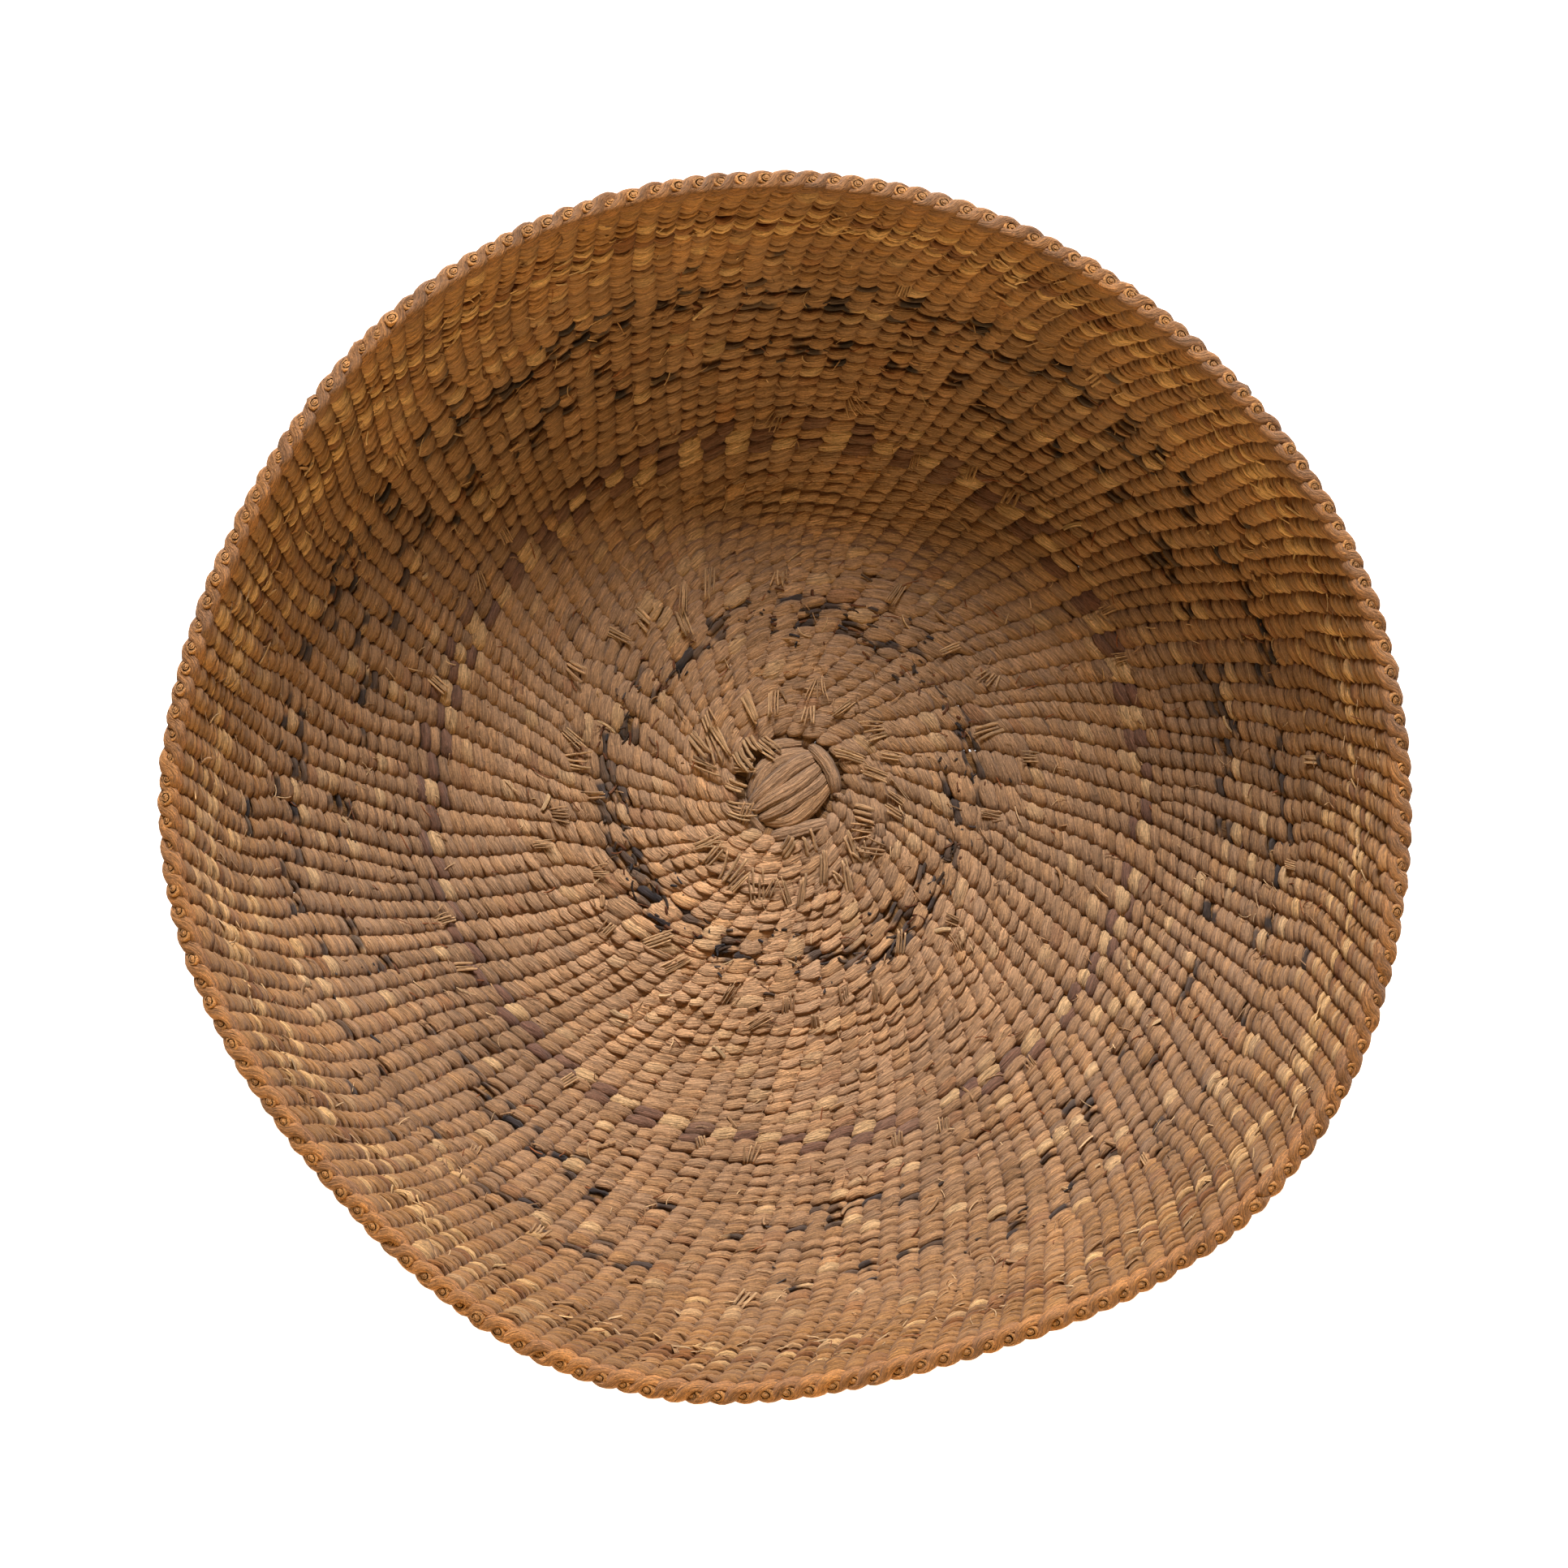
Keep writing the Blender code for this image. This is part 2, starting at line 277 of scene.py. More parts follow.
def lay_warps():
    """Each warp in order round the basket: where it begins, the ring it is laid in at, and its start warp."""
    begins = [START_RADIUS - 0.004] * GROUPS
    rings = list(begins)
    owners = list(range(GROUPS))
    for where, count, spread in NEW_WARPS:
        places = np.linspace(0, len(begins), count, endpoint=False) + rng.uniform(0, 0.4, count)
        chosen = set(np.minimum(places, len(begins) - 1).astype(int).tolist())
        spare = [index for index in range(len(begins)) if index not in chosen]
        chosen.update(spare[: count - len(chosen)])
        grown = []
        for index, warp in enumerate(zip(begins, rings, owners)):
            grown.append(warp)
            if index in chosen:
                grown.append((where + rng.normal(0.0, spread), where, warp[2]))
        begins, rings, owners = (list(values) for values in zip(*grown))
    return np.array(begins), np.array(rings), np.array(owners)


births, rings_of_birth, families = lay_warps()
WARPS = len(births)
stoutness = 1.0 + 0.12 * rng.normal(size=WARPS)
stoutness[births < START_RADIUS] = 1.0


def warp_turn(which, along):
    """Angle of a warp, before the swirl, and its share of the circle, at a length along the wall."""
    grown = smooth((along[:, None] - births + NEW_WARP_LEAD) / NEW_WARP_GROWTH)
    late = smooth((along[:, None] - 0.030) / 0.03)
    room = grown * (1.0 + (stoutness - 1.0) * late)
    even_room = smooth((along[:, None] - rings_of_birth + NEW_WARP_LEAD) / NEW_WARP_GROWTH)
    place = (np.cumsum(room, axis=1) - room / 2) / room.sum(1, keepdims=True)
    even_place = (np.cumsum(even_room, axis=1) - even_room / 2) / even_room.sum(1, keepdims=True)
    astray = place - even_place
    spread = sum(np.roll(astray, step, axis=1) for step in range(-NEIGHBOURS, NEIGHBOURS + 1))
    place = even_place + astray - spread / (2 * NEIGHBOURS + 1)
    row = np.arange(len(along))
    return TAU * place[row, which], TAU * (room / room.sum(1, keepdims=True))[row, which]


def lay_courses():
    """Every stitch in order, clockwise and outwards: its warp, its length along the wall and its course."""
    warps, lengths, courses = [], [], []
    clockwise = np.arange(WARPS)[::-1]
    for course in range(COURSES):
        along = START_RADIUS + COURSE_PITCH * (course + np.arange(WARPS) / WARPS)
        live = births[clockwise] < along
        warps.append(clockwise[live])
        lengths.append(along[live])
        courses.append(np.full(live.sum(), course))
    return np.concatenate(warps), np.concatenate(lengths), np.concatenate(courses)


stitch_warp, stitch_along, stitch_course = lay_courses()
STITCHES = len(stitch_warp)
stitch_turn = warp_turn(stitch_warp, stitch_along)[0] - TAU * stitch_course
stitch_angle = stitch_turn - swirl(stitch_along)


# Variation.


def wander(count, reach, amount):
    """Smooth noise along a run of stitches."""
    rough = rng.normal(size=count + 4 * reach)
    window = np.hanning(2 * reach + 1)
    even = np.convolve(rough, window / np.sqrt((window**2).sum()), mode="same")
    return amount * even[2 * reach : 2 * reach + count]


def blotches(points, size, waves=9):
    """Smooth patches over the basket, about -1 to 1."""
    ways = rng.normal(size=(waves, 3))
    ways /= np.linalg.norm(ways, axis=1, keepdims=True)
    sizes = size * rng.uniform(0.6, 1.6, waves)
    phases = rng.uniform(0, TAU, waves)
    total = sum(np.sin(points @ way * TAU / wide + phase) for way, wide, phase in zip(ways, sizes, phases))
    return total / math.sqrt(waves / 2)


def colour(red, green, blue):
    """A colour as a screen shows it, 0 to 255, in the linear values that shaders use."""
    screen = np.array([red, green, blue]) / 255.0
    return np.where(screen <= 0.04045, screen / 12.92, ((screen + 0.055) / 1.055) ** 2.4)


TAN = colour(184, 140, 98)
GREY_TAN = colour(180, 142, 110)
GOLD_TAN = colour(178, 128, 76)
GOLD = colour(236, 190, 132)
STRAW = colour(228, 188, 140)
RUST = colour(150, 84, 40)
PURPLE = colour(108, 72, 66)
BLUE_BLACK = colour(52, 46, 50)
BROWN_BLACK = colour(60, 42, 30)
RIM_ORANGE = colour(228, 156, 86)
RIM_BROWN = colour(174, 122, 80)
DUST = colour(186, 150, 122)
PAINTED_SHADE_TONE = np.array([0.78, 1.0, 1.28])  # painted shade: crevices are painted redder as well as darker, as bounced light would make them


# Meshes.


def sweep(centres, aside, half_width, half_thickness, sides, twist=0.0, lumps=0.0, pleats=0):
    """Rings round several curves at once: points as curves x rings x sides x 3, and fibre directions.

    lumps is the size of uneven ridges along the curve, as a share of the width. pleats is a number of
    even folds round it.
    """
    ahead = np.gradient(centres, axis=1)
    ahead /= np.linalg.norm(ahead, axis=2, keepdims=True)
    across = aside - (aside * ahead).sum(2, keepdims=True) * ahead
    across /= np.linalg.norm(across, axis=2, keepdims=True)
    above = np.cross(ahead, across)
    angle = np.arange(sides) * TAU / sides
    uneven = rng.normal(size=centres.shape[:2] + (sides,)) * lumps
    uneven[:, 1:-1] = (uneven[:, :-2] + 2.0 * uneven[:, 1:-1] + uneven[:, 2:]) / 2.5
    swell = 1.0 + uneven + PLEAT_DEPTH * np.cos(pleats * angle) * (pleats > 0)
    one = half_width[..., None] * np.cos(angle) * swell
    two = half_thickness[..., None] * np.sin(angle) * swell
    points = centres[:, :, None] + one[..., None] * across[:, :, None] + two[..., None] * above[:, :, None]
    gone = np.linalg.norm(np.diff(centres, axis=1), axis=2)
    length = np.concatenate([np.zeros((len(centres), 1)), np.cumsum(gone, axis=1)], axis=1)
    turned = twist * length[..., None]
    fibre = np.stack(
        [
            np.broadcast_to(length[..., None], one.shape),
            one * np.cos(turned) - two * np.sin(turned),
            one * np.sin(turned) + two * np.cos(turned),
        ],
        axis=-1,
    )
    fibre = fibre * 1000.0 + rng.uniform(0, 500, (len(centres), 1, 1, 3))
    return points, fibre


def tube_faces(curves, rings, sides):
    """Side quads and end caps of the swept rings."""
    curve = np.arange(curves)[:, None, None] * rings * sides
    ring = np.arange(rings - 1)[None, :, None] * sides
    side = np.arange(sides)[None, None, :]
    after = (side + 1) % sides
    quads = np.stack(
        [
            curve + ring + side,
            curve + ring + after,
            curve + ring + sides + after,
            curve + ring + sides + side,
        ],
        axis=-1,
    ).reshape(-1, 4)
    starts = np.arange(curves)[:, None] * rings * sides
    first = starts + np.arange(sides)[::-1][None, :]
    last = starts + (rings - 1) * sides + np.arange(sides)[None, :]
    return quads, np.concatenate([first, last])


def make_piece(name, parts, material):
    """One object from swept parts, each its points, fibre directions and tints, as curves x rings x sides."""
    points, fibres, tints, loops, starts = [], [], [], [], []
    offset, loop_count = 0, 0
    for part_points, part_fibre, part_tint in parts:
        curves, rings, sides = part_points.shape[:3]
        quads, caps = tube_faces(curves, rings, sides)
        for faces in (quads, caps):
            loops.append((faces + offset).ravel())
            starts.append(loop_count + np.arange(len(faces)) * faces.shape[1])
            loop_count += faces.size
        offset += curves * rings * sides
        points.append(part_points.reshape(-1, 3))
        fibres.append(part_fibre.reshape(-1, 3))
        tints.append(np.broadcast_to(part_tint, part_points.shape).reshape(-1, 3))
    points, fibres, tints = np.concatenate(points), np.concatenate(fibres), np.concatenate(tints)
    loops, starts = np.concatenate(loops), np.concatenate(starts)
    mesh = bpy.data.meshes.new(name)
    mesh.vertices.add(len(points))
    mesh.vertices.foreach_set("co", points.ravel().astype(np.float32))
    mesh.loops.add(len(loops))
    mesh.loops.foreach_set("vertex_index", loops.astype(np.int32))
    mesh.polygons.add(len(starts))
    mesh.polygons.foreach_set("loop_start", starts.astype(np.int32))
    mesh.update(calc_edges=True)
    fibre = mesh.attributes.new("fibre", "FLOAT_VECTOR", "POINT")
    fibre.data.foreach_set("vector", fibres.ravel().astype(np.float32))
    tint = mesh.attributes.new("tint", "FLOAT_COLOR", "POINT")
    opaque = np.concatenate([tints, np.ones((len(tints), 1))], axis=1)
    tint.data.foreach_set("color", opaque.ravel().astype(np.float32))
    mesh.shade_smooth()
    mesh.materials.append(material)
    piece = bpy.data.objects.new(name, mesh)
    bpy.context.scene.collection.objects.link(piece)
    return piece


def settle(piece, slot, *nodes):
    """The piece rides on the basket, and stands for these CAD nodes."""
    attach(piece, "root")
    if nodes:
        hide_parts(*nodes)
    return piece


# Materials.


def noise(tree, source, scale, detail, rough):
    """Noise over source, with its own scale each way."""
    texture = tree.nodes.new("ShaderNodeTexNoise")
    texture.inputs["Scale"].default_value = 1.0
    texture.inputs["Detail"].default_value = detail
    texture.inputs["Roughness"].default_value = rough
    stretch = tree.nodes.new("ShaderNodeVectorMath")
    stretch.operation = "MULTIPLY"
    stretch.inputs[1].default_value = scale
    tree.links.new(source, stretch.inputs[0])
    tree.links.new(stretch.outputs["Vector"], texture.inputs["Vector"])
    return texture.outputs["Fac"]


def level(tree, value, low, high, to_low, to_high):
    """value from low to high, made to run from to_low to to_high."""
    ramp = tree.nodes.new("ShaderNodeMapRange")
    ramp.inputs["From Min"].default_value = low
    ramp.inputs["From Max"].default_value = high
    ramp.inputs["To Min"].default_value = to_low
    ramp.inputs["To Max"].default_value = to_high
    tree.links.new(value, ramp.inputs["Value"])
    return ramp.outputs["Result"]


def scaled(tree, base, value):
    """base colour times a grey value."""
    times = tree.nodes.new("ShaderNodeVectorMath")
    times.operation = "SCALE"
    tree.links.new(base, times.inputs[0])
    tree.links.new(value, times.inputs["Scale"])
    return times.outputs["Vector"]


def mixed(tree, base, over, value):
    """base colour with some of another over it."""
    blend = tree.nodes.new("ShaderNodeMix")
    blend.data_type = "RGBA"
    tree.links.new(value, blend.inputs["Factor"])
    tree.links.new(base, blend.inputs[6])
    blend.inputs[7].default_value = (*over, 1.0)
    return blend.outputs[2]


def near_half(tree, value, reach):
    """1 where value is within reach of a half, 0 elsewhere."""
    compare = tree.nodes.new("ShaderNodeMath")
    compare.operation = "COMPARE"
    compare.inputs[1].default_value = 0.5
    compare.inputs[2].default_value = reach
    tree.links.new(value, compare.inputs[0])
    return compare.outputs["Value"]


def relief(tree, coarse, fine, depth):
    """Bump from a coarse noise and half as much of a fine one."""
    total = tree.nodes.new("ShaderNodeMath")
    total.operation = "MULTIPLY_ADD"
    total.inputs[1].default_value = 0.5
    tree.links.new(fine, total.inputs[0])
    tree.links.new(coarse, total.inputs[2])
    bump = tree.nodes.new("ShaderNodeBump")
    bump.inputs["Strength"].default_value = 1.0
    bump.inputs["Distance"].default_value = depth
    tree.links.new(total.outputs["Value"], bump.inputs["Height"])
    return bump.outputs["Normal"]


def attribute(tree, name):
    """Node that reads a value stored on the mesh."""
    reader = tree.nodes.new("ShaderNodeAttribute")
    reader.attribute_name = name
    return reader


def fibre_material(name, streak, fuzz, bump, roughness, sheen):
    """Plant fibre: streaks that run along each strand, painted shade in thin creases, mottling, dust, and a
    bump from the same fibres.
    """
    material = bpy.data.materials.new(name)
    material.use_nodes = True
    tree = material.node_tree
    shader = tree.nodes["Principled BSDF"]
    shader.inputs["Roughness"].default_value = roughness
    shader.inputs["Specular IOR Level"].default_value = 0.25
    shader.inputs["Sheen Weight"].default_value = sheen
    shader.inputs["Sheen Roughness"].default_value = 0.6
    fibre = attribute(tree, "fibre").outputs["Vector"]
    place = tree.nodes.new("ShaderNodeTexCoord").outputs["Object"]

    strands = noise(tree, fibre, (0.12, 1.6, 1.6), 4.0, 0.65)
    hairs = noise(tree, fibre, (0.3, 3.8, 3.8), 2.0, 0.6)
    folds = noise(tree, fibre, (0.10, 0.75, 0.75), 1.0, 0.4)
    specks = noise(tree, place, (1500.0, 1500.0, 1500.0), 2.0, 0.6)
    patches = noise(tree, place, (45.0, 45.0, 45.0), 3.0, 0.6)
    ground = attribute(tree, "tint").outputs["Color"]
    ground = scaled(tree, ground, level(tree, strands, 0.3, 0.7, 1.0 - streak, 1.0 + 0.8 * streak))
    ground = scaled(tree, ground, level(tree, hairs, 0.3, 0.7, 1.0 - 0.7 * streak, 1.0 + 0.7 * streak))
    # Painted shade: thin creases along the fibre are painted darker.
    crease_shade = near_half(tree, folds, 0.022)
    ground = scaled(tree, ground, level(tree, crease_shade, 0.0, 1.0, 1.02, 0.72))
    ground = scaled(tree, ground, level(tree, specks, 0.3, 0.7, 1.0 - fuzz, 1.0 + fuzz))
    ground = mixed(tree, ground, DUST, level(tree, patches, 0.45, 0.75, 0.0, 0.22))
    tree.links.new(ground, shader.inputs["Base Color"])
    tree.links.new(relief(tree, strands, hairs, bump), shader.inputs["Normal"])
    return material


weft_material = fibre_material("weft_fibre", streak=0.44, fuzz=0.17, bump=0.0009, roughness=0.9, sheen=0.1)
warp_material = fibre_material("warp_fibre", streak=0.40, fuzz=0.16, bump=0.0008, roughness=0.95, sheen=0.1)
rim_material = fibre_material("rim_fibre", streak=0.52, fuzz=0.22, bump=0.0018, roughness=0.75, sheen=0.1)
straw_material = fibre_material("straw_fibre", streak=0.42, fuzz=0.16, bump=0.0008, roughness=0.8, sheen=0.1)
leaf_material = fibre_material("leaf_fibre", streak=0.40, fuzz=0.14, bump=0.0012, roughness=0.85, sheen=0.1)


# Weft.

row_drift = wander(STITCHES, 9, 0.00022) + 0.00014 * rng.normal(size=STITCHES)
row_drift[stitch_course == COURSES - 1] += LAST_COURSE_RISE
stitch_points = wall_point(stitch_turn, stitch_along, np.zeros(STITCHES))
age_patches = blotches(stitch_points, 0.09)
dark_patches = blotches(stitch_points, 0.06)
column_tone = 0.06 * rng.normal(size=WARPS)
stain_place = rng.uniform(-0.40, 0.40, STITCHES)  # in stitches, from the middle of one
stain_reach = rng.uniform(0.20, 0.60, STITCHES)
# A painted pool of light on the base, strongest at its place.
from_painted_light = np.linalg.norm(stitch_points[:, :2] - PAINTED_LIGHT_PLACE, axis=1)
painted_light = np.exp(-((from_painted_light / PAINTED_LIGHT_SIZE) ** 2))


def mingle(base, other, amount):
    """From one colour towards another, for each stitch or ring."""
    amount = np.clip(amount, 0.0, 1.0)[:, None]
    return base * (1.0 - amount) + other * amount


def between(ends, share):
    """From the first of two values to the second."""
    return ends[0] + (ends[1] - ends[0]) * share


def within(course, rows):
    """Whether each stitch lies between two courses."""
    return (course > rows[0]) & (course < rows[1])


def dye(tint, where, target, strength):
    """Take the chosen stitches some way towards a colour."""
    tint[where] = tint[where] * (1.0 - strength) + target * strength


def plain_tint(on_base, golden, tone):
    """Tan fibre: greyer on the base, golden towards the rim, with a painted pool of light on the base and
    painted light and shade round the wall.
    """
    tint = mingle(np.broadcast_to(GREY_TAN, (STITCHES, 3)), TAN, 0.5 - 0.15 * on_base + 0.25 * tone)
    tint = mingle(tint, GOLD_TAN, golden * 0.9 + 0.1 * tone)
    # Painted light: a pool of light is painted onto the base, making it paler there.
    brightness = 0.055 * rng.normal(size=STITCHES) + 0.045 * tone + 0.06 * age_patches + 0.22 * painted_light - 0.03
    # Painted light and shade: the wall is painted lighter on the side the key light misses and darker on the
    # side it lights.
    brightness = brightness + 0.07 * np.sin(stitch_angle) * (1.0 - on_base)
    return tint * np.exp(brightness + 0.10 * on_base + column_tone[stitch_warp])[:, None]


def fleck(course, tint, chance, deep):
    """Odd stitches of lighter, redder or darker fibre."""
    dye(tint, chance < 0.05, STRAW, 0.45)
    deep[chance < 0.05] -= 0.0003
    dye(tint, within(course, FLECKED_ROWS) & (chance < 0.04), STRAW, 0.6)
    dye(tint, (chance > 0.05) & (chance < 0.075), RUST, 0.30)
    dye(tint, (chance > 0.075) & (chance < 0.083), BROWN_BLACK, 0.3)


def stain_rows(strand, course, full, deep):
    """How strongly each stitch of the broken dark rows is stained; a stained one is thin and sunk."""
    stain = np.zeros(STITCHES)
    patchy = np.clip(0.92 + 0.18 * dark_patches, 0.4, 1.3)
    patchy = patchy * (1.0 + 0.40 * np.sin(stitch_angle) * (course > 20.0))
    for low, high, share in DARK_ROWS:
        share = share * (1.0, 0.4)[strand]
        row = within(course, (low, high))
        dark = row & (rng.random(STITCHES) < share * patchy)
        stain[dark] = rng.uniform(0.7, 1.0, dark.sum())
        full[dark] *= rng.uniform(0.25, 0.50, dark.sum())
        deep[dark] += 0.0003
        full[row & ~dark] *= 1.15
    return stain


def colour_two_tone_rows(strand, course, tint, full):
    """One strand is purple and the other straw."""
    chance = rng.random(STITCHES)
    if strand == 0:
        dye(tint, within(course, PURPLE_ROWS) & (chance < 0.85), PURPLE, 0.75)
    else:
        straw = within(course, STRAW_ROWS) & (chance < 0.72)
        dye(tint, straw, STRAW, 0.82)
        full[straw] *= 1.18


def gild_rows(course, tint, full, deep):
    """Thin golden and rusty stitches under the rim."""
    gold_rows = within(course, GOLD_ROWS)
    gold_row = within(course, GOLDEST_ROWS)
    shine = rng.random(STITCHES)
    bright_side = 1.0 - 0.8 * smooth((np.cos(stitch_angle - FADED_SIDE) - 0.6) / 0.35)
    dye(tint, gold_rows & (shine < 0.14 * bright_side), GOLD, 0.75)
    dye(tint, gold_row & (shine < 0.52 * bright_side), GOLD, 0.85)
    dye(tint, gold_row & (shine > 0.78), RUST * 0.7, 0.6)
    dye(tint, (course > GOLD_SPECK_START) & ~gold_rows & (shine < 0.06 * bright_side), GOLD, 0.7)
    full[gold_rows] *= rng.uniform(0.52, 0.92, gold_rows.sum())
    deep[gold_rows] += 0.0003 * rng.normal(size=gold_rows.sum())
    deep[gold_row & (shine < 0.52)] -= 0.0003


def stitch_look(strand):
    """Tint, fullness, depth, tilt and stain of one strand's stitches."""
    course = stitch_course + (stitch_along - START_RADIUS) / COURSE_PITCH % 1.0
    on_base = 1.0 - smooth((course - BASE_COURSES[0]) / (BASE_COURSES[1] - BASE_COURSES[0]))
    golden = smooth((stitch_course - GOLDEN_COURSES[0]) / (GOLDEN_COURSES[1] - GOLDEN_COURSES[0]))
    chance = rng.random(STITCHES)
    tone = wander(STITCHES, 14, 0.6) + 0.35 * rng.normal(size=STITCHES)
    tint = plain_tint(on_base, golden, tone)
    full = 1.0 + (0.13 + 0.04 * golden) * rng.normal(size=STITCHES) + wander(STITCHES, 3, 0.05)
    deep = 0.0001 * rng.normal(size=STITCHES)
    fleck(course, tint, chance, deep)
    stain = stain_rows(strand, course, full, deep)
    colour_two_tone_rows(strand, course, tint, full)
    gild_rows(course, tint, full, deep)
    full[stitch_course == COURSES - 1] *= LAST_COURSE_FULLNESS
    tilt = (0.26 + 0.06 * golden - 0.09 * on_base) * rng.normal(size=STITCHES) + 0.28 * on_base - 0.15
    return tint, full, deep, tilt, stain


def press_flat(points):
    """The stitches under the base are pressed flat by its weight, and stay above the table."""
    height = points[..., 2]
    pressed = PRESSED_HEIGHT * np.exp(height / PRESSED_HEIGHT - 1.0)
    points[..., 2] = np.where(height < PRESSED_HEIGHT, pressed, height)


def strand_rings(first, last, strand, look):
    """Swept rings of one strand of the weft over the stitches first to last."""
    tint, full, deep, tilt, stain = look
    stitches = np.arange(first, last + 1)
    at = np.append((stitches[:, None] + RING_STOPS).ravel(), last + 0.5)
    nearest = np.append(np.repeat(stitches, len(RING_STOPS)), last)

    def here(values):
        """The values of the stitches, at the rings of the strand."""
        return np.interp(at, np.arange(STITCHES), values)

    face = np.cos(math.pi * (at + strand))
    over = np.sin(math.pi * (at + strand))
    nearness = np.abs(face)
    on_warp = nearness**0.36
    wall = smooth((here(stitch_course.astype(float)) - WALL_COURSES[0]) / (WALL_COURSES[1] - WALL_COURSES[0]))
    far_side = wall * np.clip(np.sin(here(stitch_turn) - here(swirl(stitch_along))), 0.0, 1.0)

    half_width = between(STITCH_WIDTH, wall) * on_warp + CROSSING_WIDTH * (1.0 - on_warp)
    half_width = COURSE_PITCH * here(full) * half_width
    half_thickness = between(STITCH_THICKNESS, wall) * on_warp + CROSSING_THICKNESS * (1.0 - on_warp)
    roundness = between(STITCH_ROUNDNESS, wall) + FAR_SIDE_ROUNDNESS * far_side
    lift = (STITCH_LIFT - here(deep)) * np.sign(face) * nearness**roundness
    along = here(stitch_along + row_drift) + COURSE_PITCH * between(STITCH_SLANT, wall) * over
    turn = here(stitch_turn)
    centres = wall_point(turn, along, lift)
    tipped = here(tilt)[:, None]
    aside = outward(turn, along, lift) * np.cos(tipped) + inward(turn, along) * np.sin(tipped)
    sizes = half_width[None], half_thickness[None]
    points, fibre = sweep(centres[None], aside[None], *sizes, STRAND_SIDES, twist=60.0, lumps=0.05)
    press_flat(points)

    # Dirt and painted shade in the grooves between stitches and at the edges between courses; painted shade
    # adds more on the far side of the wall, where the key light misses it, and makes all of it redder as well
    # as darker.
    groove_dirt_and_shade = between(GROOVE_DIRT_AND_SHADE, wall) + FAR_SIDE_SHADE * far_side
    groove = (1.0 - groove_dirt_and_shade * (1.0 - on_warp))[:, None, None]
    edge = np.cos(np.arange(STRAND_SIDES) * TAU / STRAND_SIDES)[None, :, None] ** 2
    edge = 1.0 - between(EDGE_DIRT_AND_SHADE, wall)[:, None, None] * edge
    off_stain = np.abs(at - nearest - stain_place[nearest])
    stained = stain[nearest] * (off_stain < stain_reach[nearest])
    shade = mingle(tint[nearest], BLUE_BLACK, stained)[:, None, :] * (groove * edge) ** PAINTED_SHADE_TONE
    return points, fibre, shade[None]


def twine():
    """Two strands for each run of weft."""
    course = 0
    looks = [stitch_look(strand) for strand in (0, 1)]
    for node, courses, slot in WEFT_RUNS:
        inside = np.flatnonzero((stitch_course >= course) & (stitch_course < course + courses))
        for strand, letter in enumerate("ab"):
            rings = strand_rings(inside[0], inside[-1], strand, looks[strand])
            piece = make_piece(f"{node}_strand_{letter}", [rings], weft_material)
            settle(piece, slot, node)
        course += courses


twine()


# Warps.


def warp_rings(which, rings):
    """One warp, from where it is laid in to its rolled end at the rim."""
    end = WALL_LENGTH - 0.0005 + 0.0003 * rng.normal()
    along = np.append(np.linspace(births[which], end, rings), end + END_RISE)
    size = np.append(np.ones(rings), END_SIZE)
    turn, share = warp_turn(np.full(len(along), which), along)
    spacing = share * profile(along)[0]
    half_width = np.clip(0.52 * spacing, 0.0008, 0.0040)
    head = 0.010 if births[which] < START_RADIUS else 0.002
    half_width = np.minimum(half_width, 0.0004 + 0.30 * (along - births[which] + head))
    half_thickness = np.minimum(WARP_THICKNESS / 2 - 0.0001, 0.5 * half_width + 0.0006)
    at_rim = smooth((along - WALL_LENGTH + 0.010) / 0.008)
    half_width = between((half_width, END_HALF_WIDTH), at_rim) * size
    half_thickness = between((half_thickness, END_HALF_THICKNESS), at_rim) * size
    centres = wall_point(turn, along, np.zeros(len(along)))
    clockwise = wall_point(turn - 0.002, along, np.zeros(len(along))) - centres
    sizes = half_width[None], half_thickness[None]
    points, fibre = sweep(centres[None], clockwise[None], *sizes, WARP_SIDES, twist=40.0, lumps=0.06)
    # Painted shade: the rolled end is painted with a spiral of lighter and darker bands, for the gaps between
    # its coils.
    coil_shade = np.cos(TAU * END_SHADE_COILS * size[:, None] + np.arange(WARP_SIDES) * TAU / WARP_SIDES)
    coil_shade = 1.0 + 0.26 * coil_shade * (size < 1.0)[:, None]
    # Painted shade: the warp is painted dark along its body, which shows only in the shaded gaps of the weft;
    # its cut end at the rim keeps its own colour.
    brightness = rng.uniform(0.40, 0.60) * (1.0 - at_rim) + rng.uniform(0.85, 1.15) * at_rim
    shade = coil_shade * brightness[:, None]
    tint = mingle(np.broadcast_to(GOLD_TAN, (len(along), 3)), RIM_ORANGE, 0.35 * at_rim)
    return points, fibre, (tint[:, None, :] * shade[:, :, None])[None]


def lay_in_warps():
    """One piece for each CAD group of warps."""
    for group in range(GROUPS):
        members = np.flatnonzero(families == group)
        rings = [warp_rings(which, WARP_RINGS) for which in members]
        piece = make_piece(f"warps_{group + 1:02d}", rings, warp_material)
        settle(piece, "warp_fibre", f"warp_group_{group + 1:02d}")


lay_in_warps()


# Rim.


